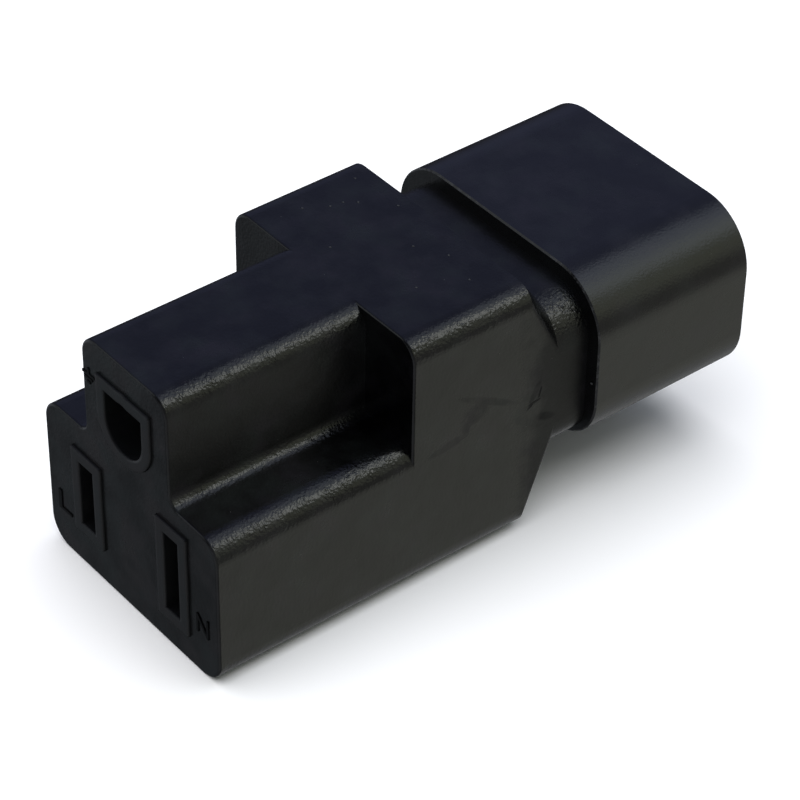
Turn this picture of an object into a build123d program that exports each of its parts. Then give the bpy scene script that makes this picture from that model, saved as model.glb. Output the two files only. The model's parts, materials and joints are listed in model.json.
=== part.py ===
from build123d import *
from math import radians, tan
import os

# Power plug adapter: a grounded three-slot socket in front, a three-blade inlet behind.
# X runs across, Y from the socket face to the rear, Z up from the resting face.
# The origin is the centre of the box round the whole object, at its underside.

# Overall body
overall_length = 58.4         # from the socket face to the rear, without the bosses
body_width = 25.5
body_height = 27.0
tower_width = 12.3
shoulder_foot = 16.05         # height of a shoulder where it meets the tower
shoulder_edge = 15.9          # height of a shoulder at the body's side
bottom_round = 2.6
shoulder_round = 2.2
foot_round = 1.2
tower_round = 2.0
block_round = 2.1
edge_break = 0.25
front_lap = 0.6               # how far the front runs into the block, past its broken edge
heel_round = 4.5              # under the body, where it turns up to the neck

# Stations along the body, measured rearwards from the socket face
step_at = 20.7
block_end = 33.7
neck_start = 37.0
rim_at = 40.5

# Rear shroud round the inlet
shroud_width = 28.2
shroud_height = 18.0
shroud_bottom = 6.35
shroud_top_round = 5.9
shroud_bottom_round = 5.6
rim_step = 1.5                # how far the shroud stands proud of the neck on top and at the sides
rim_low_step = 0.25           # and underneath, where the two are nearly flush
rim_bevel = 0.15
mouth_bevel = 0.25
cavity_width = 24.6
cavity_height = 15.8
cavity_depth = 16.0
cavity_round = 3.6
cavity_cut = 4.2              # the mouth's upper corners are cut off on the earth side
cavity_cut_round = 0.8
root_wall = 1.6               # neck wall round the shroud's root
root_length = 5.0
root_shell = 1.3

# Socket face: standard slot pattern
slot_pitch = 12.7
slot_row = 8.5                # height of the two blade slots
earth_rise = 11.9             # from the slot row to the earth pin's axis
slot_width = 2.2
neutral_slot = 8.7
line_slot = 7.1
earth_width = 5.5
earth_height = 5.4
earth_sag = 2.8               # the opening's lowest point under the earth pin's axis
boss_margin = 1.1
boss_gap = 0.05
boss_rise = 0.25              # the bosses stand a little proud of the socket face

# Contact carrier behind the socket face
face_wall = 1.6
carrier_width = 21.2
carrier_bottom = 2.0
carrier_shoulder = 14.2
carrier_tower = 8.8
carrier_top = 25.0
carrier_length = 17.9
carrier_gap = 0.1
entry_depth = 3.0             # length of a slot before its chamber opens out
chamber_width = 5.0
earth_chamber_width = 6.6
chamber_height = 10.0
earth_chamber_height = 7.4
cover_thickness = 1.6
bay_half_width = 10.0
bay_bottom = 3.2
bay_top = 24.4
bay_end = 33.0

# Spring contacts, links and rivets
leaf = 0.5
leaf_bend = 0.9
contact_front = 4.0
nip_back = 2.2                # where the two leaves pinch, behind their tips
belly_back = 6.0              # where they open out again
contact_web = 16.5
contact_room = 3.6            # outer width over the two leaves of a blade contact
blade_pinch = 1.3
earth_room = 5.8
earth_pinch = 4.4
neutral_leaf_height = 7.0
line_leaf_height = 6.0
earth_leaf_height = 4.4
strap_height = 3.6
tail_end = 26.2
tail_slit_gap = 0.15
link_thickness = 0.8
link_start = 22.6
link_end = 34.4
link_bend = 2.2
rivet_radius = 0.75
rivet_gap = 0.05
rivet_head_radius = 1.35
rivet_head = 0.45
contact_rivet_at = 24.4
pin_rivet_at = 32.6

# Inlet blades
pin_pitch = 14.0
pin_height = 4.0
pin_thickness = 2.0
pin_drop = 2.0                # line and neutral blades below the cavity's middle
pin_rise = 2.0                # earth blade above the cavity's middle
pin_length = 13.0
earth_pin_length = 15.0
pin_bevel = 0.6
pin_tail = 0.6
pin_tail_front = 31.0
pin_gap = 0.03
pin_carrier_gap = 0.1

# Sizes that follow from the ones above
shroud_mid = shroud_bottom + shroud_height / 2
floor_at = overall_length - cavity_depth
face_y = (boss_rise - overall_length) / 2
rear_y = face_y + overall_length
neck_width = shroud_width - 2 * rim_step
neck_bottom = shroud_bottom + rim_low_step
neck_height = shroud_height - rim_step - rim_low_step
root_width = neck_width - 2 * root_wall
root_height = shroud_height - 2 * rim_step - 2 * root_wall
root_start = rim_at - root_length
carrier_end = face_wall + carrier_length
earth_axis = slot_row + earth_rise
earth_low = earth_axis - earth_sag


def station(distance):
    """Section plane at a distance behind the socket face; local x and y are X and Z."""
    return Plane.XZ.offset(-(face_y + distance))


def flat(height):
    """Level plane at a height; local x and y are X and Y."""
    return Plane.XY.offset(height)


def upright(across):
    """Plane facing sideways at an X; local x and y are Y and Z."""
    return Plane.YZ.offset(across)


def rounded_box(width, height, middle, top_round, low_round):
    """Section with one corner radius on top and another below, round the height middle."""
    with BuildSketch(mode=Mode.PRIVATE) as outline:
        with Locations((0, middle)):
            Rectangle(width, height)
        fillet(outline.vertices().group_by(Axis.Y)[-1], top_round)
        fillet(outline.vertices().group_by(Axis.Y)[0], low_round)
    return outline.sketch


def block_profile():
    """Full section of the body behind the step."""
    return rounded_box(body_width, body_height, body_height / 2, block_round, bottom_round)


def neck_profile():
    """Section of the neck, set in from the shroud by the rim's steps."""
    return rounded_box(neck_width, neck_height, neck_bottom + neck_height / 2,
                       shroud_top_round - rim_step, shroud_bottom_round - rim_step)


def heel_outline():
    """Side view of what rounding takes off the edge where the underside turns up to the neck."""
    edge = Vector(face_y + block_end, 0)
    slope = (Vector(face_y + neck_start, neck_bottom) - edge).normalized()
    reach = heel_round * tan(radians(slope.get_angle(Vector(1, 0)) / 2))
    foot, top = edge - Vector(reach, 0), edge + slope * reach
    outward = slope.rotate(Axis.Z, -90) * heel_round
    with BuildSketch(upright(0), mode=Mode.PRIVATE) as outline:
        with BuildLine():
            TangentArc(foot, top, tangent=(1, 0))
            Polyline(top, top + outward, foot - Vector(0, heel_round), foot)
        make_face()
    return outline.sketch


def body_profile():
    """T section of the front: a tower on a base with shoulders that fall outwards."""
    half, tower = body_width / 2, tower_width / 2
    with BuildSketch(mode=Mode.PRIVATE) as outline:
        with BuildLine():
            Polyline(
                (-half, 0), (half, 0), (half, shoulder_edge), (tower, shoulder_foot),
                (tower, body_height), (-tower, body_height), (-tower, shoulder_foot),
                (-half, shoulder_edge), close=True,
            )
        make_face()
        fillet(outline.vertices().group_by(Axis.Y)[0], bottom_round)
        for level, radius in ((shoulder_edge, shoulder_round), (shoulder_foot, foot_round),
                              (body_height, tower_round)):
            fillet(outline.vertices().filter_by_position(Axis.Y, level, level), radius)
    return outline.sketch


def carrier_profile(spare=0.0):
    """T section of the contact carrier; spare makes the pocket that it seats in."""
    with BuildSketch(mode=Mode.PRIVATE) as outline:
        with BuildLine():
            half, tower = carrier_width / 2 + spare, carrier_tower / 2 + spare
            low, shoulder, top = carrier_bottom - spare, carrier_shoulder + spare, carrier_top + spare
            Polyline(
                (-half, low), (half, low), (half, shoulder), (tower, shoulder),
                (tower, top), (-tower, top), (-tower, shoulder), (-half, shoulder), close=True,
            )
        make_face()
    return outline.sketch


def earth_outline(grow=0.0):
    """Earth opening: a square head over a half round, which lies round the earth pin."""
    round_radius = earth_width / 2 + grow
    low, high = earth_low - grow, earth_low + earth_height + grow
    with BuildSketch(mode=Mode.PRIVATE) as outline:
        with Locations((0, low + round_radius)):
            Circle(round_radius)
            Rectangle(2 * round_radius, high - low - round_radius, align=(Align.CENTER, Align.MIN))
    return outline.sketch


def cavity_outline():
    """Mouth of the inlet: rounded below, its two upper corners cut off on the earth side."""
    with BuildSketch(mode=Mode.PRIVATE) as outline:
        with Locations((0, shroud_mid)):
            Rectangle(cavity_width, cavity_height)
        fillet(outline.vertices().group_by(Axis.Y)[0], cavity_round)
        chamfer(outline.vertices().group_by(Axis.Y)[-1], cavity_cut)
        fillet(outline.vertices().filter_by(lambda corner: corner.Y > shroud_mid), cavity_cut_round)
    return outline.sketch


def slot_outline(side, height, grow=0.0):
    """Blade slot at its place in the row; side is +1 for neutral and -1 for line."""
    with BuildSketch(mode=Mode.PRIVATE) as outline:
        with Locations((side * slot_pitch / 2, slot_row)):
            Rectangle(slot_width + 2 * grow, height + 2 * grow)
    return outline.sketch


def openings(grow=0.0):
    return [slot_outline(1, neutral_slot, grow), slot_outline(-1, line_slot, grow), earth_outline(grow)]


# Outer housing: the moulded body, its taper and its neck
with BuildPart() as outer_housing:
    with BuildSketch(station(step_at)):
        add(block_profile())
    extrude(amount=-(block_end - step_at))
    fillet(outer_housing.edges().filter_by_position(Axis.Y, face_y + step_at, face_y + step_at), edge_break)
    with BuildSketch(station(0)):
        add(body_profile())
    extrude(amount=-(step_at + front_lap))
    fillet(outer_housing.edges().filter_by_position(Axis.Y, face_y, face_y), edge_break)
    with BuildSketch(station(block_end)):
        add(block_profile())
    with BuildSketch(station(neck_start)):
        add(neck_profile())
    loft(ruled=True)
    with BuildSketch(station(neck_start)):
        add(neck_profile())
    extrude(amount=-(rim_at - neck_start))
    extrude(heel_outline(), amount=body_width, both=True, mode=Mode.SUBTRACT)
    # windows for the carrier's bosses
    with BuildSketch(station(0)):
        for shape in openings(boss_margin + boss_gap):
            add(shape)
    extrude(amount=-face_wall, mode=Mode.SUBTRACT)
    # pocket for the contact carrier and its back cover
    with BuildSketch(station(face_wall)):
        add(carrier_profile(carrier_gap))
    extrude(amount=-(carrier_length + cover_thickness), mode=Mode.SUBTRACT)
    # bay for the links
    with BuildSketch(station(carrier_end + cover_thickness)):
        with Locations((0, (bay_bottom + bay_top) / 2)):
            Rectangle(2 * bay_half_width, bay_top - bay_bottom)
    extrude(amount=-(bay_end - carrier_end - cover_thickness), mode=Mode.SUBTRACT)
    # seat for the shroud's root
    with BuildSketch(station(bay_end)):
        with Locations((0, shroud_mid)):
            Rectangle(root_width, root_height)
    extrude(amount=-(rim_at - bay_end), mode=Mode.SUBTRACT)

# Contact carrier: three chambers behind three bosses that show in the face
with BuildPart() as socket_insert:
    with BuildSketch(station(face_wall)):
        add(carrier_profile())
    extrude(amount=-carrier_length)
    with BuildSketch(station(-boss_rise)):
        for shape in openings(boss_margin):
            add(shape)
    extrude(amount=-(face_wall + boss_rise))
    with BuildSketch(station(-boss_rise)):
        for shape in openings():
            add(shape)
    extrude(amount=-(entry_depth + boss_rise), mode=Mode.SUBTRACT)
    with BuildSketch(station(entry_depth)):
        with Locations((slot_pitch / 2, slot_row), (-slot_pitch / 2, slot_row)):
            Rectangle(chamber_width, chamber_height)
        with Locations((0, earth_axis)):
            Rectangle(earth_chamber_width, earth_chamber_height)
    extrude(amount=-(carrier_end - entry_depth), mode=Mode.SUBTRACT)


def strap_places():
    """Side, contact X, contact height, pin X and pin height of each of the three lines."""
    return {
        "line": (-1, -slot_pitch / 2, slot_row, -pin_pitch / 2, shroud_mid - pin_drop),
        "neutral": (1, slot_pitch / 2, slot_row, pin_pitch / 2, shroud_mid - pin_drop),
        "earth": (1, 0.0, earth_axis, 0.0, shroud_mid + pin_rise),
    }


# Back cover of the carrier, slit for the contact tails
with BuildPart() as insert_back_cover:
    with BuildSketch(station(carrier_end)):
        add(carrier_profile())
        for side, contact_x, contact_z, pin_x, pin_z in strap_places().values():
            with Locations((contact_x, contact_z)):
                Rectangle(leaf + 2 * tail_slit_gap, strap_height + 2 * tail_slit_gap, mode=Mode.SUBTRACT)
    extrude(amount=-cover_thickness)


def spring_contact(across, middle, room, pinch, height):
    """Folded strip: two sprung leaves that pinch a blade, a rear web and a flat tail."""
    out, nip = room / 2 - leaf / 2, pinch / 2 + leaf / 2
    front, web = face_y + contact_front, face_y + contact_web
    nip_at, belly_at = front + nip_back, front + belly_back
    with BuildPart() as contact:
        with BuildSketch(flat(middle - height / 2)):
            with BuildLine():
                FilletPolyline(
                    (across - out, front), (across - nip, nip_at), (across - out, belly_at),
                    (across - out, web), (across + out, web), (across + out, belly_at),
                    (across + nip, nip_at), (across + out, front), radius=leaf_bend,
                )
            trace(line_width=leaf)
        extrude(amount=height)
        with BuildSketch(flat(middle - strap_height / 2)):
            with Locations((across, (web + face_y + tail_end) / 2)):
                Rectangle(leaf, face_y + tail_end - web)
        extrude(amount=strap_height)
        with BuildSketch(upright(across)):
            with Locations((face_y + contact_rivet_at, middle)):
                Circle(rivet_radius + rivet_gap)
        extrude(amount=leaf, both=True, mode=Mode.SUBTRACT)
    return contact.part


def link_strap(seat, side, contact_z, pin_z):
    """Flat strap stepped in height, lying against the outer face of both tails."""
    start, end = face_y + link_start, face_y + link_end
    near, far = face_y + tail_end, face_y + pin_tail_front
    with BuildPart() as link:
        with BuildSketch(upright(seat)):
            with BuildLine():
                FilletPolyline((start, contact_z), (near, contact_z), (far, pin_z), (end, pin_z),
                               radius=link_bend)
            trace(line_width=strap_height)
            with Locations((face_y + contact_rivet_at, contact_z), (face_y + pin_rivet_at, pin_z)):
                Circle(rivet_radius + rivet_gap, mode=Mode.SUBTRACT)
        extrude(amount=side * link_thickness)
    return link.part


def inlet_pin(across, middle, length, seat, side):
    """Inlet blade with a bevelled tip, and a thinned tail riveted to its link."""
    tail_far = seat - side * pin_tail
    with BuildPart() as pin:
        with BuildSketch(station(root_start)):
            with Locations((across, middle)):
                Rectangle(pin_thickness, pin_height)
        extrude(amount=-(floor_at + length - root_start))
        tip = pin.faces().sort_by(Axis.Y)[-1]
        chamfer(tip.edges(), pin_bevel)
        with BuildSketch(station(pin_tail_front)):
            with Locations(((seat + tail_far) / 2, middle)):
                Rectangle(pin_tail, strap_height)
        extrude(amount=-(root_start - pin_tail_front))
        with BuildSketch(upright(seat)):
            with Locations((face_y + pin_rivet_at, middle)):
                Circle(rivet_radius + rivet_gap)
        extrude(amount=pin_thickness, both=True, mode=Mode.SUBTRACT)
    return pin.part


def rivet(seat, side, inner, along, middle):
    """Headed rivet through one tail and one link; inner is the tail's thickness."""
    near, far = seat - side * inner, seat + side * link_thickness
    with BuildPart() as stud:
        with BuildSketch(upright(near)):
            with Locations((face_y + along, middle)):
                Circle(rivet_radius)
        extrude(amount=far - near)
        with BuildSketch(upright(near)):
            with Locations((face_y + along, middle)):
                Circle(rivet_head_radius)
        extrude(amount=-side * rivet_head)
        with BuildSketch(upright(far)):
            with Locations((face_y + along, middle)):
                Circle(rivet_head_radius)
        extrude(amount=side * rivet_head)
    return stud.part


leaf_sizes = {
    "line": (contact_room, blade_pinch, line_leaf_height, pin_length),
    "neutral": (contact_room, blade_pinch, neutral_leaf_height, pin_length),
    "earth": (earth_room, earth_pinch, earth_leaf_height, earth_pin_length),
}
conductors = {}
for name, (side, contact_x, contact_z, pin_x, pin_z) in strap_places().items():
    room, pinch, height, length = leaf_sizes[name]
    seat = contact_x + side * leaf / 2
    conductors[name + "_contact"] = spring_contact(contact_x, contact_z, room, pinch, height)
    conductors[name + "_link"] = link_strap(seat, side, contact_z, pin_z)
    conductors[name + "_pin"] = inlet_pin(pin_x, pin_z, length, seat, side)
    conductors[name + "_contact_rivet"] = rivet(seat, side, leaf, contact_rivet_at, contact_z)
    conductors[name + "_pin_rivet"] = rivet(seat, side, pin_tail, pin_rivet_at, pin_z)

# Inlet shroud: outer shell, floor, and the hollow root that seats in the neck
with BuildPart() as inlet_shroud:
    with BuildSketch(station(rim_at)):
        add(rounded_box(shroud_width, shroud_height, shroud_mid, shroud_top_round, shroud_bottom_round))
    extrude(amount=-(overall_length - rim_at))
    chamfer(inlet_shroud.edges().filter_by_position(Axis.Y, face_y + rim_at, face_y + rim_at), rim_bevel)
    chamfer(inlet_shroud.edges().filter_by_position(Axis.Y, rear_y, rear_y), mouth_bevel)
    with BuildSketch(station(floor_at)):
        add(cavity_outline())
    extrude(amount=-cavity_depth, mode=Mode.SUBTRACT)
    with BuildSketch(station(root_start)):
        with Locations((0, shroud_mid)):
            Rectangle(root_width - 2 * carrier_gap, root_height - 2 * carrier_gap)
            Rectangle(root_width - 2 * carrier_gap - 2 * root_shell,
                      root_height - 2 * carrier_gap - 2 * root_shell, mode=Mode.SUBTRACT)
    extrude(amount=-root_length)
    with BuildSketch(station(rim_at)):
        for side, contact_x, contact_z, pin_x, pin_z in strap_places().values():
            with Locations((pin_x, pin_z)):
                Rectangle(pin_thickness + 2 * pin_gap, pin_height + 2 * pin_gap)
    extrude(amount=-(floor_at - rim_at), mode=Mode.SUBTRACT)

# Pin carrier: the block inside the root that holds the three blades at their pitch
with BuildPart() as pin_carrier:
    with BuildSketch(station(root_start)):
        with Locations((0, shroud_mid)):
            Rectangle(root_width - 2 * (carrier_gap + root_shell + pin_carrier_gap),
                      root_height - 2 * (carrier_gap + root_shell + pin_carrier_gap))
        for side, contact_x, contact_z, pin_x, pin_z in strap_places().values():
            with Locations((pin_x, pin_z)):
                Rectangle(pin_thickness + 2 * pin_gap, pin_height + 2 * pin_gap, mode=Mode.SUBTRACT)
    extrude(amount=-root_length)

pieces = {
    "outer_housing": outer_housing.part,
    "socket_insert": socket_insert.part,
    "insert_back_cover": insert_back_cover.part,
    "inlet_shroud": inlet_shroud.part,
    "pin_carrier": pin_carrier.part,
    **conductors,
}
os.makedirs("parts", exist_ok=True)
for label, piece in pieces.items():
    piece.label = label
    export_step(piece, f"parts/{label}.step")
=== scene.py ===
# %% [markdown]
# # A moulded power adapter, dressed for its portrait
# The adapter is a single black plastic body with a three-slot socket in front and a shrouded
# three-blade inlet behind. Its solids arrive ready made and at their real size. What is left for
# this lesson is the way that black plastic looks: a spark-eroded skin on the body, a smoother satin
# on the shroud, brass and nickel deep inside, and the small marks that the mould leaves.

# %% Load the solids
import json
import random
from collections import namedtuple
from math import cos, radians

import bmesh
import bpy
from mathutils import Matrix, Vector

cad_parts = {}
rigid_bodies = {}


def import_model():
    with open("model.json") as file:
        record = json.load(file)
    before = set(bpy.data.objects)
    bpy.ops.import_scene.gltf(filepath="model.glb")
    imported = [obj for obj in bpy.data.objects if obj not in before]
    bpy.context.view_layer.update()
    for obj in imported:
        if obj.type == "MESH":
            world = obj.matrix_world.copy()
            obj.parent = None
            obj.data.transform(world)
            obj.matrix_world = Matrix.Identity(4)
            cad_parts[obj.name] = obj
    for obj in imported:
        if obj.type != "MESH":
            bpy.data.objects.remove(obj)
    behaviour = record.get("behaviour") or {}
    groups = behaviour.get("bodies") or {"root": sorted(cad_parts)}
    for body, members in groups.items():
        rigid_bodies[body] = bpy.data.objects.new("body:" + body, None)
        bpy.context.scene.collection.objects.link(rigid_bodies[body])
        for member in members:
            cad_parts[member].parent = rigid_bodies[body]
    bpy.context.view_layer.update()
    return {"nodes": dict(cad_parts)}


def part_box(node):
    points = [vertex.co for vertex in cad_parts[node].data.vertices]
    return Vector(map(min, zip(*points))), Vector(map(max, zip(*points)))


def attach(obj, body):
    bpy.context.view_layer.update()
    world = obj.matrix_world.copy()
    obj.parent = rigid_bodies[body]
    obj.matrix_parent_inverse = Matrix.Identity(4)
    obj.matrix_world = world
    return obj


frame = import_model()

nodes = frame["nodes"]

# %% [markdown]
# Every length in the scene is in metres, so a small helper turns millimetres into scene units. The
# socket face and the ends of the body and the shroud are read from the solids and not typed in.

# %% Places that the solids give
MM = 0.001
housing_low, housing_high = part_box("outer_housing")
shroud_low, shroud_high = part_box("inlet_shroud")
face_y = housing_low.y
neck_end_y = housing_high.y
print("socket face at", round(face_y / MM, 2), "mm, rear at", round(shroud_high.y / MM, 2), "mm")


def from_face(place):
    """A place given in millimetres, with its Y counted from the socket face."""
    return Vector(place) * MM + Vector((0, face_y, 0))


# %% [markdown]
# ## The camera
# A product picture taken from close by shows a little perspective, so the lens length and the
# distance both matter. The camera is placed by where it stands, its heading, its tilt and a very
# small roll. A long lens at about thirty centimetres gives the gentle convergence of the edges.

# %% Set up the camera
CAMERA_FROM_FACE = (175.07, -112.34, 191.93)      # millimetres
CAMERA_HEADING = 50.886
CAMERA_TILT = 39.073
CAMERA_ROLL = 0.974
LENS = 144.48
SENSOR = 36.0
FRAME_SHIFT = (-0.00488, -0.00038)
CLIP_RANGE = (0.01, 20)


def make_camera():
    """A camera that looks along its heading, tilted down, with a slight roll."""
    data = bpy.data.cameras.new("portrait_camera")
    data.lens = LENS
    data.sensor_width = SENSOR
    data.shift_x, data.shift_y = FRAME_SHIFT
    data.clip_start, data.clip_end = CLIP_RANGE
    camera = bpy.data.objects.new("portrait_camera", data)
    turn = Matrix.Rotation(radians(CAMERA_HEADING), 4, "Z")
    tilt = Matrix.Rotation(radians(90 - CAMERA_TILT), 4, "X")
    roll = Matrix.Rotation(radians(CAMERA_ROLL), 4, "Z")
    camera.matrix_world = Matrix.Translation(from_face(CAMERA_FROM_FACE)) @ turn @ tilt @ roll
    bpy.context.scene.collection.objects.link(camera)
    bpy.context.scene.camera = camera
    return camera


camera = make_camera()
print("camera at", [round(v, 4) for v in camera.location])

# %% [markdown]
# ## The stage
# Black plastic shows almost nothing of its own colour. What is seen on it is its surroundings, dimly
# mirrored, so the surroundings are designed first. A large pale floor catches a soft shadow. It is
# hidden from the mirror rays, and the sky colour below the horizon takes its place, because that
# can be bright on one side and dim on the other as a real table beside a window is.

# %% Floor
FLOOR_SIZE = 6.0
FLOOR_COLOUR = (0.93, 0.93, 0.935, 1)
FLOOR_ROUGHNESS = 0.9


def new_material(name):
    """A material with its shader, and the node tree to build on."""
    material = bpy.data.materials.new(name)
    material.use_nodes = True
    tree = material.node_tree
    return material, tree, tree.nodes["Principled BSDF"]


def link_piece(mesh_builder, name):
    """Turns a finished bmesh into an object at the origin."""
    mesh = bpy.data.meshes.new(name)
    mesh_builder.to_mesh(mesh)
    mesh_builder.free()
    piece = bpy.data.objects.new(name, mesh)
    bpy.context.scene.collection.objects.link(piece)
    return piece


def make_floor():
    """A matt floor that neither shows in the plastic nor throws light back at it."""
    builder = bmesh.new()
    bmesh.ops.create_grid(builder, x_segments=1, y_segments=1, size=FLOOR_SIZE / 2)
    floor = link_piece(builder, "floor")
    material, tree, shader = new_material("pale_floor")
    shader.inputs["Base Color"].default_value = FLOOR_COLOUR
    shader.inputs["Roughness"].default_value = FLOOR_ROUGHNESS
    shader.inputs["Specular IOR Level"].default_value = 0.0
    floor.data.materials.append(material)
    floor.visible_glossy = False
    floor.visible_diffuse = False
    return floor


floor = make_floor()
print("floor", floor.name, "is", FLOOR_SIZE, "m across")

# %% [markdown]
# ## The sky
# The sky is a sum of soft lobes. Each lobe is brightest in one direction and fades with the angle
# from it. The first ones are what the portrait's camera sees mirrored in the plastic: the pale
# table to the right, the cool room behind, the dim front, the light over the rounded edges. The
# fill lobes lie where the portrait sees no mirror image of them. They are for somebody who walks
# round the object, so that its other sides aren't lost in the dark.

# %% Sky of soft lobes
BASE_SKY = (0.034, 0.034, 0.038)
SKY_LOBES = [
    # direction, full within (degrees), gone beyond (degrees), colour
    ((0.570, 0.50, -0.655), 8, 26, (0.455, 0.465, 0.410)),
    ((-0.55, 0.47, 0.69), 12, 58, (0.126, 0.144, 0.262)),
    ((-0.60, -0.49, -0.63), 10, 60, (0.058, 0.067, 0.073)),
    ((0.30, 0.50, 0.81), 8, 32, (0.72, 0.79, 0.90)),
    ((0.68, 0.50, 0.54), 10, 34, (0.45, 0.48, 0.35)),
    ((0.78, 0.60, -0.05), 8, 36, (0.22, 0.22, 0.20)),
    ((-0.60, -0.63, 0.49), 6, 26, (0.50, 0.53, 0.56)),
    ((0.49, -0.60, -0.63), 10, 46, (0.26, 0.27, 0.28)),
    ((-0.05, 0.48, -0.87), 8, 28, (0.32, 0.33, 0.33)),
]
FILL_LOBES = [
    ((0.65, -0.65, 0.35), 10, 40, (0.17, 0.18, 0.19)),
    ((-0.92, -0.38, -0.15), 12, 34, (0.31, 0.33, 0.36)),
    ((1.00, -0.08, -0.15), 8, 28, (0.21, 0.21, 0.20)),
    ((0.00, -1.00, -0.15), 12, 38, (0.22, 0.23, 0.25)),
    ((0.00, 1.00, -0.15), 12, 34, (0.31, 0.32, 0.32)),
    ((0.00, -0.20, 0.98), 8, 28, (0.14, 0.16, 0.21)),
]


def lobe_light(tree, where, direction, full, gone, colour):
    """The colour of one lobe, faded by the angle between the view ray and its direction."""
    toward = tree.nodes.new("ShaderNodeVectorMath")
    toward.operation = "DOT_PRODUCT"
    toward.inputs[1].default_value = Vector(direction).normalized()
    tree.links.new(where, toward.inputs[0])
    fade = tree.nodes.new("ShaderNodeMapRange")
    fade.interpolation_type = "SMOOTHSTEP"
    fade.inputs["From Min"].default_value = cos(radians(gone))
    fade.inputs["From Max"].default_value = cos(radians(full))
    tree.links.new(toward.outputs["Value"], fade.inputs["Value"])
    tinted = tree.nodes.new("ShaderNodeVectorMath")
    tinted.operation = "SCALE"
    tinted.inputs[0].default_value = colour
    tree.links.new(fade.outputs["Result"], tinted.inputs["Scale"])
    return tinted.outputs["Vector"]


def make_sky():
    """A world whose colour is the base sky with every lobe added to it."""
    world = bpy.data.worlds.new("soft_room")
    bpy.context.scene.world = world
    world.use_nodes = True
    tree = world.node_tree
    tree.nodes.clear()
    output = tree.nodes.new("ShaderNodeOutputWorld")
    background = tree.nodes.new("ShaderNodeBackground")
    tree.links.new(background.outputs[0], output.inputs[0])
    where = tree.nodes.new("ShaderNodeTexCoord").outputs["Generated"]
    light = None
    for facts in SKY_LOBES + FILL_LOBES:
        sum_so_far = tree.nodes.new("ShaderNodeMix")
        sum_so_far.data_type = "RGBA"
        sum_so_far.blend_type = "ADD"
        sum_so_far.inputs["Factor"].default_value = 1.0
        sum_so_far.inputs["A"].default_value = (*BASE_SKY, 1)
        if light is not None:
            tree.links.new(light, sum_so_far.inputs["A"])
        tree.links.new(lobe_light(tree, where, *facts), sum_so_far.inputs["B"])
        light = sum_so_far.outputs["Result"]
    tree.links.new(light, background.inputs["Color"])
    return world


sky = make_sky()
print("sky lobes:", len(SKY_LOBES), "and fill:", len(FILL_LOBES))

# %% [markdown]
# Two lamps finish the light. The key is a soft box high on the right and behind. It is linked to the
# body alone, where it draws the broken bright lines along the rounded edges. The second lamp shines
# on the floor alone, from nearly straight above, so the floor stays pale without washing out the
# black plastic. Light linking does this: a lamp lights only what its receiver collection holds.

# %% Lamps
TARGET = Vector((0, 0, 13 * MM))
LAMPS = {
    # name: direction, distance, size, power, colour
    "key_soft_box": ((0.52, 0.49, 0.70), 0.6, 0.20, 0.25, (1.0, 1.0, 0.93)),
    "floor_lamp": ((-0.1, -0.1, 1.0), 1.5, 2.6, 44, (1, 1, 1)),
}


def make_lamp(name, direction, distance, size, power, colour):
    """A round area lamp that points at the target."""
    data = bpy.data.lights.new(name, "AREA")
    data.shape = "DISK"
    data.size = size
    data.energy = power
    data.color = colour
    lamp = bpy.data.objects.new(name, data)
    place = TARGET + Vector(direction).normalized() * distance
    lamp.location = place
    lamp.rotation_euler = (TARGET - place).to_track_quat("-Z", "Y").to_euler()
    bpy.context.scene.collection.objects.link(lamp)
    return lamp


def light_only(lamp, piece, group_name):
    """Limits a lamp to one piece."""
    group = bpy.data.collections.new(group_name)
    group.objects.link(piece)
    lamp.light_linking.receiver_collection = group


key_lamp, floor_lamp = [make_lamp(name, *facts) for name, facts in LAMPS.items()]
light_only(floor_lamp, floor, "floor_only")
light_only(key_lamp, bpy.data.objects["outer_housing"], "body_only")
bpy.context.scene.view_settings.view_transform = "Standard"
print("lamps:", key_lamp.name, floor_lamp.name)

# %% [markdown]
# ## Steps that build a material
# The materials are built from a handful of small steps. Each step adds one node, joins it to the
# values that it is given and hands back its result, so a material reads like a short sum. Values
# may be node outputs or plain numbers.

# %% Steps that join nodes
def add_node(tree, kind, **settings):
    node = tree.nodes.new(kind)
    for name, value in settings.items():
        setattr(node, name, value)
    return node


def combine(tree, operation, first, second):
    """Arithmetic on two values; either may be a plain number."""
    node = add_node(tree, "ShaderNodeMath", operation=operation)
    for socket, value in zip(node.inputs, (first, second)):
        if isinstance(value, (int, float)):
            socket.default_value = value
        else:
            tree.links.new(value, socket)
    return node.outputs[0]


def chain(tree, operation, values):
    """The same arithmetic along a list of values."""
    result = values[0]
    for value in values[1:]:
        result = combine(tree, operation, result, value)
    return result


def product(tree, *values):
    return chain(tree, "MULTIPLY", values)


def total(tree, *values):
    return chain(tree, "ADD", values)


def greatest(tree, *values):
    return chain(tree, "MAXIMUM", values)


def remap(tree, value, low, high, out_low=0.0, out_high=1.0, smooth=False):
    """Maps low..high of a value to out_low..out_high, and stops there."""
    node = add_node(tree, "ShaderNodeMapRange")
    if smooth:
        node.interpolation_type = "SMOOTHSTEP"
    sockets = ("From Min", "From Max", "To Min", "To Max")
    for socket, number in zip(sockets, (low, high, out_low, out_high)):
        node.inputs[socket].default_value = number
    tree.links.new(value, node.inputs["Value"])
    return node.outputs["Result"]


def blend_colour(tree, amount, first, second):
    node = add_node(tree, "ShaderNodeMix", data_type="RGBA")
    tree.links.new(amount, node.inputs["Factor"])
    for socket, value in ((node.inputs["A"], first), (node.inputs["B"], second)):
        if isinstance(value, tuple):
            socket.default_value = (*value, 1)
        else:
            tree.links.new(value, socket)
    return node.outputs["Result"]


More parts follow.
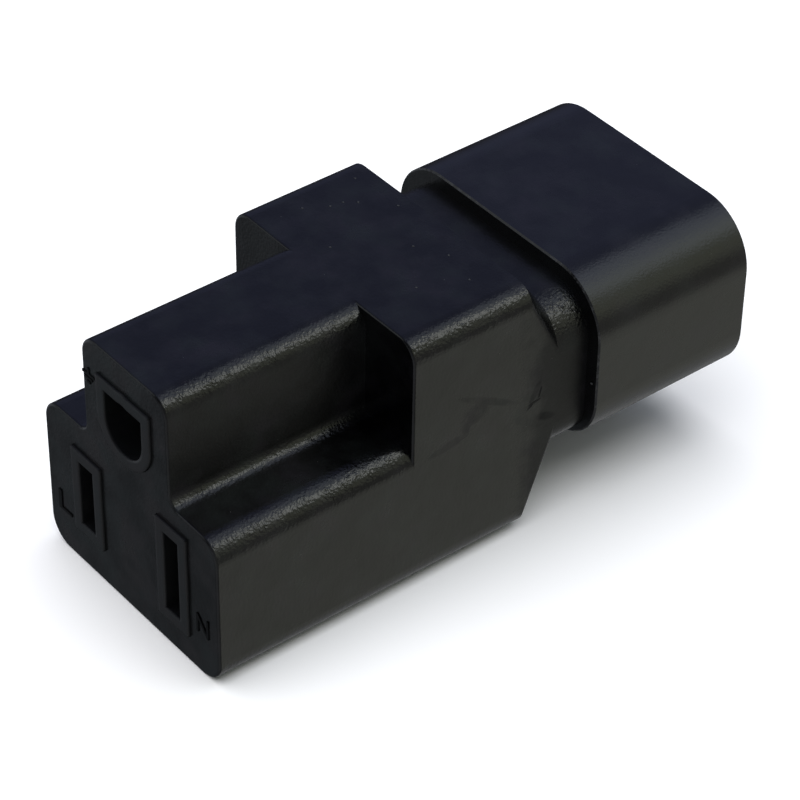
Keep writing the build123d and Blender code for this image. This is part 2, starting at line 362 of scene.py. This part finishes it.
def raise_surface(tree, height, depth, under=None):
    """Bump of a height, depth in millimetres, on top of another bump if one is given."""
    node = add_node(tree, "ShaderNodeBump")
    node.inputs["Strength"].default_value = 1.0
    node.inputs["Distance"].default_value = depth * MM
    tree.links.new(height, node.inputs["Height"])
    if under is not None:
        tree.links.new(under, node.inputs["Normal"])
    return node.outputs["Normal"]


print("steps for sums, blends and bumps are ready")

# %% [markdown]
# The next steps read the surface. A pattern sits on the object's own coordinates, so that it stays
# in place when the object moves. The surface's direction tells a top from a flank. On an edge that
# runs from front to back the surface looks partly sideways and partly up, and the product of the
# two is greatest half way round, which is how such an edge is found.

# %% Steps that read the surface
TURN_STARTS = 0.06
TURN_FULL = 0.4
SPECK_CORE = 0.6              # share of a speck's radius that is wholly pale


def object_point(tree):
    return add_node(tree, "ShaderNodeTexCoord").outputs["Object"]


def along(tree, vector, axis):
    split = add_node(tree, "ShaderNodeSeparateXYZ")
    tree.links.new(vector, split.inputs[0])
    return split.outputs[axis]


def facing(tree, axis):
    """How far the surface looks along an axis of the object: 1 fully, 0 not at all, -1 away."""
    return along(tree, add_node(tree, "ShaderNodeTexCoord").outputs["Normal"], axis)


def size_of(tree, value):
    """The value without its sign."""
    return combine(tree, "ABSOLUTE", value, 0.0)


def edge_turn(tree):
    """0 on level and upright walls, 1 half way round an edge that runs from front to back."""
    tilt = product(tree, facing(tree, "X"), facing(tree, "Z"))
    return remap(tree, size_of(tree, tilt), TURN_STARTS, TURN_FULL)


def noise(tree, point, cells_per_mm, detail=2.0, rough=0.5):
    """Soft noise; cells_per_mm says how fine it is."""
    node = add_node(tree, "ShaderNodeTexNoise")
    node.inputs["Scale"].default_value = cells_per_mm / MM
    node.inputs["Detail"].default_value = detail
    node.inputs["Roughness"].default_value = rough
    tree.links.new(point, node.inputs["Vector"])
    return node.outputs["Fac"]


def dust_specks(tree, point, cells_per_mm, radius):
    """1 on tiny specks that lie here and there; radius is in millimetres."""
    cells = add_node(tree, "ShaderNodeTexVoronoi")
    cells.inputs["Scale"].default_value = cells_per_mm / MM
    tree.links.new(point, cells.inputs["Vector"])
    reach = radius * cells_per_mm
    return remap(tree, cells.outputs["Distance"], reach * SPECK_CORE, reach, 1.0, 0.0)


print("steps for places, edges, noise and specks are ready")

# %% [markdown]
# ## Black plastic
# The three mouldings share a black that isn't quite even. Slow clouds with a violet or a teal cast
# lie on it, the socket face is rubbed a little paler, and there are a few specks of dust. The same
# clouds sway the roughness, so that the mirrored room wavers slightly on a flat wall. A namedtuple
# hands the unfinished material on to the function that adds what is special to each moulding.

# %% The black that the mouldings share
BODY_BLACK = (0.0042, 0.0042, 0.0045)
INSERT_BLACK = (0.036, 0.036, 0.036)
WORN_VIOLET = (0.021, 0.019, 0.023)
WORN_TEAL = (0.018, 0.021, 0.020)
RUBBED_WARM = (0.040, 0.034, 0.035)
RUBBED_COOL = (0.029, 0.035, 0.035)
DUST = (0.10, 0.10, 0.10)
DUST_CELLS = 0.5              # to the millimetre, as every number of cells here
DUST_RADIUS = 0.06
CLOUD_CELLS = 0.22
HUE_CELLS = 0.3
ROUGHNESS_SWAY = 0.045
FACE_DEPTH = (0.2 * MM, 0.3 * MM)

Plastic = namedtuple("Plastic", "material tree shader point grain colour rough")


def shared_plastic(name, black, shine, index, grain_cells):
    """Colour, roughness and the crater noise of a moulding whose mean roughness is its shine."""
    material, tree, shader = new_material(name)
    shader.inputs["IOR"].default_value = index
    point = object_point(tree)
    clouds = noise(tree, point, CLOUD_CELLS, detail=4.0, rough=0.6)
    hue = remap(tree, noise(tree, point, HUE_CELLS), 0.42, 0.58)
    cast = blend_colour(tree, hue, WORN_VIOLET, WORN_TEAL)
    worn = blend_colour(tree, remap(tree, clouds, 0.42, 0.68), black, cast)
    looks_forward = remap(tree, facing(tree, "Y"), -0.95, -0.99)
    near_face = remap(tree, along(tree, point, "Y"), face_y + FACE_DEPTH[0], face_y + FACE_DEPTH[1], 1, 0)
    rubbed = product(tree, looks_forward, near_face, remap(tree, clouds, 0.38, 0.62))
    worn = blend_colour(tree, rubbed, worn, blend_colour(tree, hue, RUBBED_WARM, RUBBED_COOL))
    colour = blend_colour(tree, dust_specks(tree, point, DUST_CELLS, DUST_RADIUS), worn, DUST)
    rough = remap(tree, clouds, 0.3, 0.7, shine - ROUGHNESS_SWAY, shine + ROUGHNESS_SWAY)
    grain = noise(tree, point, grain_cells, detail=1.5)
    return Plastic(material, tree, shader, point, grain, colour, rough)


print("shared black sways by", ROUGHNESS_SWAY, "in roughness")

# %% [markdown]
# The body's mould was spark eroded, which leaves a skin of tiny craters a fifth of a millimetre
# across. A flat wall hides them, because every crater mirrors the same dim patch of room. A rounded
# edge shows them, because there a small tilt is enough to catch the bright sky. So the craters may
# get deeper where the surface turns. Under them lie slow waves, as on any moulding that has shrunk.

# %% Eroded skin
WAVE_CELLS = 0.25
WAVE_DEPTH = 0.06


def eroded_skin(tree, point, grain, swell, depth, under=None):
    """Craters of a depth in millimetres, deeper where swell is above 1, over slow waves."""
    waves = raise_surface(tree, noise(tree, point, WAVE_CELLS), WAVE_DEPTH, under)
    crater = product(tree, combine(tree, "SUBTRACT", grain, 0.5), swell)
    return raise_surface(tree, crater, depth, waves)


print("waves under the craters:", WAVE_DEPTH, "mm")

# %% [markdown]
# Some marks belong to places on this one object, so they are masks on its own coordinates. A
# Mapping node brings a small ellipsoid to the unit ball, and the length of what comes out says how
# far inside a point lies. Short creases lie on the right of the neck and on the left shoulder. Soft
# smudges run over the right side in front of the neck. Crumbs of pale dust lie on top.

# %% Marks on the body
CREASES = (
    # centre, half sizes, turns in degrees
    ((12.70, 34.40, 14.50), (0.6, 0.85, 0.20), (6, 0, 0)),
    ((12.70, 33.90, 14.20), (0.6, 0.50, 0.16), (28, 0, 0)),
    ((12.70, 35.05, 15.30), (0.6, 0.14, 0.70), (-16, 0, 0)),
    ((-8.40, 0.00, 16.08), (1.9, 0.45, 0.13), (0, 0, 0)),
)
SMUDGES = (
    # centre, half sizes, turns in degrees
    ((12.70, 29.10, 17.20), (0.8, 4.9, 0.52), (-29, 0, 0)),
    ((12.70, 27.55, 16.55), (0.8, 2.0, 1.35), (11, 0, 0)),
    ((12.70, 26.60, 15.40), (0.8, 0.6, 1.20), (0, 0, 0)),
    ((12.70, 24.70, 14.44), (0.8, 2.9, 0.60), (8, 0, 0)),
    ((12.70, 34.40, 15.50), (0.8, 1.7, 0.45), (62, 0, 0)),
    ((12.40, 35.80, 12.20), (1.2, 1.6, 0.55), (-24, 0, 0)),
)
CRUMBS = (
    # X and Y on the top
    (-9.71, 31.86), (-7.45, 28.77), (-6.65, 29.82), (-7.67, 27.49), (-8.93, 25.36), (1.41, 29.59),
    (-2.85, 23.79), (4.30, 31.20), (8.10, 30.40), (-4.10, 32.30), (6.20, 26.10),
)
CRUMB_LEVEL = 26.95
CRUMB_REACH = (0.15, 0.15, 0.15)
SMUDGE_CELLS = 0.8
UNTURNED = (0, 0, 0)


def ellipsoid_mask(tree, point, centre, half_sizes, turns):
    """1 inside a small ellipsoid, with a soft border; centre from the socket face."""
    place = add_node(tree, "ShaderNodeMapping", vector_type="TEXTURE")
    place.inputs["Location"].default_value = from_face(centre)
    place.inputs["Rotation"].default_value = [radians(turn) for turn in turns]
    place.inputs["Scale"].default_value = Vector(half_sizes) * MM
    tree.links.new(point, place.inputs["Vector"])
    length = add_node(tree, "ShaderNodeVectorMath", operation="LENGTH")
    tree.links.new(place.outputs["Vector"], length.inputs[0])
    return remap(tree, length.outputs["Value"], 0.5, 1.0, 1.0, 0.0, smooth=True)


def marks_mask(tree, point, marks):
    return greatest(tree, *[ellipsoid_mask(tree, point, *facts) for facts in marks])


def smudge_mask(tree, point):
    """The smudges, thinner here and there."""
    thin = remap(tree, noise(tree, point, SMUDGE_CELLS, detail=3.0), 0.35, 0.6, 0.5, 1.0)
    return product(tree, marks_mask(tree, point, SMUDGES), thin)


def crumb_mask(tree, point):
    spots = [((x, y, CRUMB_LEVEL), CRUMB_REACH, UNTURNED) for x, y in CRUMBS]
    return marks_mask(tree, point, spots)


print("creases:", len(CREASES), "smudges:", len(SMUDGES), "crumbs:", len(CRUMBS))

# %% [markdown]
# The mould's polish differs from place to place too. The neck and the tower's flanks are duller than
# the rest, and the neck's craters are the deepest. The line where the neck's dull part starts is
# smeared by a noise, since a polisher's hand leaves no straight border.

# %% Duller places on the body
NECK_FROM = 5.8               # in front of the body's rear end, where the dull neck begins
NECK_FULL = 2.6               # and where it is fully dull
NECK_SMEAR = 5.0
NECK_DULL = 0.30
NECK_TOP_DULL = 0.12
TOWER_DULL = 0.23
TOWER_HALF = 7.2
TOWER_BORDER = 0.2


def neck_mask(tree, point):
    smear = product(tree, noise(tree, point, 0.45, detail=3.0, rough=0.6), NECK_SMEAR * MM)
    reach = total(tree, along(tree, point, "Y"), smear)
    return remap(tree, reach, neck_end_y - NECK_FROM * MM, neck_end_y - NECK_FULL * MM)


def tower_mask(tree, point):
    """1 where the body is no wider than its tower."""
    across = size_of(tree, along(tree, point, "X"))
    return remap(tree, across, (TOWER_HALF - TOWER_BORDER) * MM, TOWER_HALF * MM, 1, 0)


def local_dullness(tree, point, on_neck):
    """What the flanks and the neck's top add to the roughness."""
    flank = remap(tree, size_of(tree, facing(tree, "X")), 0.86, 0.98)
    level = remap(tree, facing(tree, "Z"), 0.9, 0.97)
    on_tower = product(tree, tower_mask(tree, point), TOWER_DULL)
    flank_dull = product(tree, greatest(tree, product(tree, on_neck, NECK_DULL), on_tower), flank)
    return total(tree, flank_dull, product(tree, on_neck, level, NECK_TOP_DULL))


print("dull neck over", NECK_FROM, "mm, dull tower over", 2 * TOWER_HALF, "mm")

# %% [markdown]
# Now the body's plastic can be put together. Its colour is the shared black with painted shade that
# darkens the creases to plain black, and the crumbs pale. Its roughness adds up the shared sway, the
# dull places, the smudges and the creases. Its relief is the eroded skin, with the crumbs raised and
# the creases sunk in one more bump.

# %% The body's plastic
BODY_SHINE = 0.24
BODY_INDEX = 1.5
BODY_GRAIN_CELLS = 3.6
BODY_CRATERS = 0.020
EDGE_GRAIN = 2.3              # how much deeper the craters get on an edge
NECK_GRAIN = 4.2              # and on the neck's edges
CREASE_DULL = 0.3
CREASE_SINK = 0.5
SMUDGE_DULL = 0.20
MARK_RELIEF = 0.12
PALE_CRUMB = (0.13, 0.13, 0.13)


def edge_swell(tree, point, on_neck):
    """How much deeper the craters are: 1 on walls, more and unevenly so on rounded edges."""
    deeper = total(tree, product(tree, on_neck, NECK_GRAIN - EDGE_GRAIN), EDGE_GRAIN)
    uneven = remap(tree, noise(tree, point, 0.9), 0.35, 0.65, 0.35, 1.3)
    return total(tree, product(tree, edge_turn(tree), deeper, uneven), 1.0)


def make_body_plastic():
    plastic = shared_plastic("spark_eroded_black", BODY_BLACK, BODY_SHINE, BODY_INDEX, BODY_GRAIN_CELLS)
    tree, point, sockets = plastic.tree, plastic.point, plastic.shader.inputs
    on_neck = neck_mask(tree, point)
    creases = marks_mask(tree, point, CREASES)
    smudges = smudge_mask(tree, point)
    crumbs = crumb_mask(tree, point)
    # Painted shade: the creases' colour is darkened to the plain black. Their dent and dullness are real.
    colour_with_crease_shade = blend_colour(tree, creases, plastic.colour, BODY_BLACK)
    tree.links.new(blend_colour(tree, crumbs, colour_with_crease_shade, PALE_CRUMB), sockets["Base Color"])
    rough = total(tree, plastic.rough, local_dullness(tree, point, on_neck),
                  product(tree, smudges, SMUDGE_DULL), product(tree, creases, CREASE_DULL))
    tree.links.new(rough, sockets["Roughness"])
    swell = edge_swell(tree, point, on_neck)
    skin = eroded_skin(tree, point, plastic.grain, swell, BODY_CRATERS)
    relief = combine(tree, "SUBTRACT", crumbs, product(tree, creases, CREASE_SINK))
    tree.links.new(raise_surface(tree, relief, MARK_RELIEF, skin), sockets["Normal"])
    return plastic.material


body_plastic = make_body_plastic()
print("body:", body_plastic.name, "with", len(body_plastic.node_tree.nodes), "nodes")

# %% [markdown]
# The socket insert is a plainer, greyer black than the body, so its three frames stand out a little.
# Their edges are worn round, and a bevel node gives them that softness without any new geometry.

# %% The insert's plastic
INSERT_SHINE = 0.32
INSERT_INDEX = 1.5
FINE_GRAIN_CELLS = 4.5
FINE_CRATERS = 0.010
FRAME_WEAR = 0.38             # radius of the worn edges in millimetres


def make_insert_plastic():
    plastic = shared_plastic("insert_black", INSERT_BLACK, INSERT_SHINE, INSERT_INDEX, FINE_GRAIN_CELLS)
    tree, sockets = plastic.tree, plastic.shader.inputs
    tree.links.new(plastic.colour, sockets["Base Color"])
    tree.links.new(plastic.rough, sockets["Roughness"])
    worn = add_node(tree, "ShaderNodeBevel", samples=6)
    worn.inputs["Radius"].default_value = FRAME_WEAR * MM
    skin = eroded_skin(tree, plastic.point, plastic.grain, 1.0, FINE_CRATERS, worn.outputs["Normal"])
    tree.links.new(skin, sockets["Normal"])
    return plastic.material


insert_plastic = make_insert_plastic()
print("insert:", insert_plastic.name, "worn by", FRAME_WEAR, "mm")

# %% [markdown]
# The shroud is the smoothest of the three. A painted highlight, a pale colour broken here and there,
# runs along its front lip. The lip is a narrow bevel that faces half forwards, and that is how it is
# found.

# %% The shroud's plastic
SHROUD_SHINE = 0.27
SHROUD_INDEX = 1.60
SHROUD_EDGE_GRAIN = 1.5
LIP_PAINTED_HIGHLIGHT = (0.085, 0.085, 0.085)
LIP_HIGHLIGHT_CELLS = 1.1


def lip_highlight_mask(tree, point):
    """1 on the lip's bevel, in broken lengths, where the pale painted highlight goes."""
    forward = facing(tree, "Y")
    past_flat = remap(tree, forward, -0.9, -0.75)
    before_side = remap(tree, forward, -0.6, -0.4, 1, 0)
    broken = remap(tree, noise(tree, point, LIP_HIGHLIGHT_CELLS, detail=3.0, rough=0.7), 0.50, 0.60)
    return product(tree, past_flat, before_side, broken)


def make_shroud_plastic():
    plastic = shared_plastic("satin_black", BODY_BLACK, SHROUD_SHINE, SHROUD_INDEX, FINE_GRAIN_CELLS)
    tree, point, sockets = plastic.tree, plastic.point, plastic.shader.inputs
    # Painted highlight: the lip's bevel is coloured pale in broken lengths.
    flash = lip_highlight_mask(tree, point)
    tree.links.new(blend_colour(tree, flash, plastic.colour, LIP_PAINTED_HIGHLIGHT), sockets["Base Color"])
    tree.links.new(plastic.rough, sockets["Roughness"])
    swell = total(tree, product(tree, edge_turn(tree), SHROUD_EDGE_GRAIN), 1.0)
    skin = eroded_skin(tree, point, plastic.grain, swell, FINE_CRATERS)
    tree.links.new(skin, sockets["Normal"])
    return plastic.material


shroud_plastic = make_shroud_plastic()
print("shroud:", shroud_plastic.name, "with", len(shroud_plastic.node_tree.nodes), "nodes")

# %% [markdown]
# ## Brass and nickel
# The contacts are stamped from brass strip, and the inlet's blades are brass under bright nickel.
# Both show fine lines along the way the strip was rolled, so a noise stretched along the part's
# length drives their roughness.

# %% Metals
BRASS = (0.72, 0.50, 0.22)
BRASS_DULL = (0.52, 0.34, 0.14)
BRASS_SHINE = 0.28
NICKEL = (0.66, 0.64, 0.60)
NICKEL_DULL = (0.50, 0.47, 0.42)
NICKEL_SHINE = 0.20
ROLLED_STRETCH = (1, 0.06, 1)
LINE_CELLS = 9.0
LINE_DEPTH = 0.002
STAIN_CELLS = 0.5


def make_strip_metal(name, bright, dull, shine):
    """A metal with rolled lines and faint stains."""
    material, tree, shader = new_material(name)
    shader.inputs["Metallic"].default_value = 1.0
    point = object_point(tree)
    stretch = add_node(tree, "ShaderNodeMapping")
    stretch.inputs["Scale"].default_value = ROLLED_STRETCH
    tree.links.new(point, stretch.inputs["Vector"])
    lines = noise(tree, stretch.outputs["Vector"], LINE_CELLS, detail=3.0)
    stains = remap(tree, noise(tree, point, STAIN_CELLS, detail=3.0), 0.4, 0.7)
    tree.links.new(blend_colour(tree, stains, bright, dull), shader.inputs["Base Color"])
    rough = remap(tree, lines, 0.3, 0.7, shine - 0.06, shine + 0.08)
    tree.links.new(rough, shader.inputs["Roughness"])
    tree.links.new(raise_surface(tree, lines, LINE_DEPTH), shader.inputs["Normal"])
    return material


brass = make_strip_metal("stamped_brass", BRASS, BRASS_DULL, BRASS_SHINE)
nickel = make_strip_metal("nickel_plate", NICKEL, NICKEL_DULL, NICKEL_SHINE)
print("metals:", brass.name, nickel.name)

# %% [markdown]
# ## Finishes for the solids
# The mouldings are listed by name. Of the other solids, the three blades of the inlet are plated,
# and the contacts, links and rivets are bare brass. Each solid keeps one material slot, and only
# what is in the slot changes.

# %% Give every solid its finish
FINISHES = {
    "outer_housing": body_plastic,
    "socket_insert": insert_plastic,
    "insert_back_cover": insert_plastic,
    "pin_carrier": insert_plastic,
    "inlet_shroud": shroud_plastic,
}


def finish_of(name):
    if name in FINISHES:
        return FINISHES[name]
    return nickel if name.endswith("_pin") else brass


def give_material(piece, material):
    piece.data.materials.clear()
    piece.data.materials.append(material)


for name, piece in nodes.items():
    give_material(piece, finish_of(name))
print("finished", len(nodes), "solids")

# %% [markdown]
# ## Small marks
# Each opening has its plain terminal sign moulded beside it, an L, an N and the sign for earth. All
# of them stand a tenth of a millimetre out of the face and reach a little into it. They keep the
# body's black without its shine, so that the thin strokes read as dark lines.

# %% The signs' plastic
MARK_RISE = 0.10
MARK_DEPTH = 0.14
MARK_WORN = (0.006, 0.006, 0.0062)
MARK_ROUGHNESS = (0.38, 0.5)
MARK_INDEX = 1.28
MARK_CELLS = 2.0


def make_mark_plastic():
    material, tree, shader = new_material("mark_black")
    shader.inputs["IOR"].default_value = MARK_INDEX
    point = object_point(tree)
    worn = remap(tree, noise(tree, point, MARK_CELLS, detail=3.0), 0.35, 0.65)
    tree.links.new(blend_colour(tree, worn, BODY_BLACK, MARK_WORN), shader.inputs["Base Color"])
    tree.links.new(remap(tree, worn, 0, 1, *MARK_ROUGHNESS), shader.inputs["Roughness"])
    return material


def finish_piece(piece, material):
    """Gives a new piece its material, in one slot, and the body it rides on."""
    give_material(piece, material)
    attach(piece, "root")
    return piece


mark_plastic = make_mark_plastic()
print("signs:", mark_plastic.name, "stand", MARK_RISE, "mm proud")

# %% [markdown]
# A letter starts as a text object and is made a mesh. Only then is it stretched to its size, stood
# upright and moved to its place, so the finished piece sits at the origin with its place in its mesh.

# %% Letters
LETTERS = {
    # name: letter, left edge, foot, height, width
    "line_mark": ("L", -11.25, 4.20, 2.15, 1.95),
    "neutral_mark": ("N", 9.65, 4.65, 2.05, 1.70),
}
DRAFT_EXTRUDE = 0.5           # any thickness does, because the draft is stretched afterwards
MERGE_DISTANCE = 1e-5


def draft_letter(name, letter):
    """The letter as a bmesh, in the size that the font gives."""
    text = bpy.data.curves.new(name, "FONT")
    text.body = letter
    text.extrude = DRAFT_EXTRUDE
    draft = bpy.data.objects.new(name + "_draft", text)
    bpy.context.scene.collection.objects.link(draft)
    bpy.context.view_layer.update()
    builder = bmesh.new()
    builder.from_mesh(bpy.data.meshes.new_from_object(draft))
    bpy.data.objects.remove(draft)
    bmesh.ops.remove_doubles(builder, verts=builder.verts, dist=MERGE_DISTANCE)
    return builder


def make_letter(name, letter, left, foot, height, width):
    """A letter as a thin solid that stands on the socket face."""
    builder = draft_letter(name, letter)
    points = builder.verts
    low = Vector([min(v.co[i] for v in points) for i in range(3)])
    high = Vector([max(v.co[i] for v in points) for i in range(3)])
    size = high - low
    stretch = (width * MM / size.x, height * MM / size.y, MARK_DEPTH * MM / size.z)
    upright = Matrix.Rotation(radians(90), 3, "X")
    place = from_face((left, MARK_DEPTH - MARK_RISE, foot))
    bmesh.ops.translate(builder, verts=points, vec=-low)
    bmesh.ops.scale(builder, verts=points, vec=stretch)
    bmesh.ops.rotate(builder, verts=points, cent=(0, 0, 0), matrix=upright)
    bmesh.ops.translate(builder, verts=points, vec=place)
    bmesh.ops.recalc_face_normals(builder, faces=builder.faces)
    return link_piece(builder, name)


for name, facts in LETTERS.items():
    mark = finish_piece(make_letter(name, *facts), mark_plastic)
    print(mark.name, "faces:", len(mark.data.polygons))

# %% [markdown]
# The earth sign is an upright bar over three level ones that get shorter. Each is a cube stretched
# to its size, and one bevel over all of their edges takes off the knife edges.

# %% Earth sign
EARTH_BARS = (
    # middle X, middle Z, width, height
    (-5.15, 23.45, 0.28, 0.60),
    (-5.15, 23.05, 1.80, 0.26),
    (-5.15, 22.64, 1.15, 0.26),
    (-5.15, 22.23, 0.50, 0.26),
)
BAR_BEVEL = 0.02


def make_earth_mark():
    builder = bmesh.new()
    for across, level, width, height in EARTH_BARS:
        bar = bmesh.ops.create_cube(builder, size=1.0)["verts"]
        place = from_face((across, MARK_DEPTH / 2 - MARK_RISE, level))
        bmesh.ops.scale(builder, verts=bar, vec=Vector((width, MARK_DEPTH, height)) * MM)
        bmesh.ops.translate(builder, verts=bar, vec=place)
    bmesh.ops.bevel(builder, geom=builder.edges[:], offset=BAR_BEVEL * MM, segments=1, profile=0.5,
                    affect="EDGES", material=-1)
    return link_piece(builder, "earth_mark")


earth_mark = finish_piece(make_earth_mark(), mark_plastic)
print(earth_mark.name, "faces:", len(earth_mark.data.polygons))

# %% [markdown]
# A crumb of flash is left on the shroud's front lip, on the right. It is a small rough pebble: an
# icosphere whose points are pushed about by a seeded draw, then flattened against the lip.

# %% Crumb of flash
CRUMB_AT = (13.45, 40.42, 14.1)                   # from the socket face, in millimetres
CRUMB_SIZE = Vector((0.34, 0.16, 0.26))
CRUMB_ROUGHEN = (0.8, 1.15)
CRUMB_SEED = 5
CRUMB_DARK = (0.05, 0.05, 0.05)
CRUMB_PALE = (0.20, 0.20, 0.20)
CRUMB_CELLS = 4.0
CRUMB_SHINE = 0.35


def make_crumb():
    draw = random.Random(CRUMB_SEED)
    builder = bmesh.new()
    bmesh.ops.create_icosphere(builder, subdivisions=2, radius=0.5)
    for point in builder.verts:
        point.co *= draw.uniform(*CRUMB_ROUGHEN)
    bmesh.ops.scale(builder, verts=builder.verts, vec=CRUMB_SIZE * MM)
    bmesh.ops.translate(builder, verts=builder.verts, vec=from_face(CRUMB_AT))
    return link_piece(builder, "flash_crumb")


def make_crumb_plastic():
    material, tree, shader = new_material("flash_grey")
    shader.inputs["Roughness"].default_value = CRUMB_SHINE
    mottle = remap(tree, noise(tree, object_point(tree), CRUMB_CELLS), 0.35, 0.65)
    tree.links.new(blend_colour(tree, mottle, CRUMB_DARK, CRUMB_PALE), shader.inputs["Base Color"])
    return material


crumb = finish_piece(make_crumb(), make_crumb_plastic())
print(crumb.name, "points:", len(crumb.data.vertices))
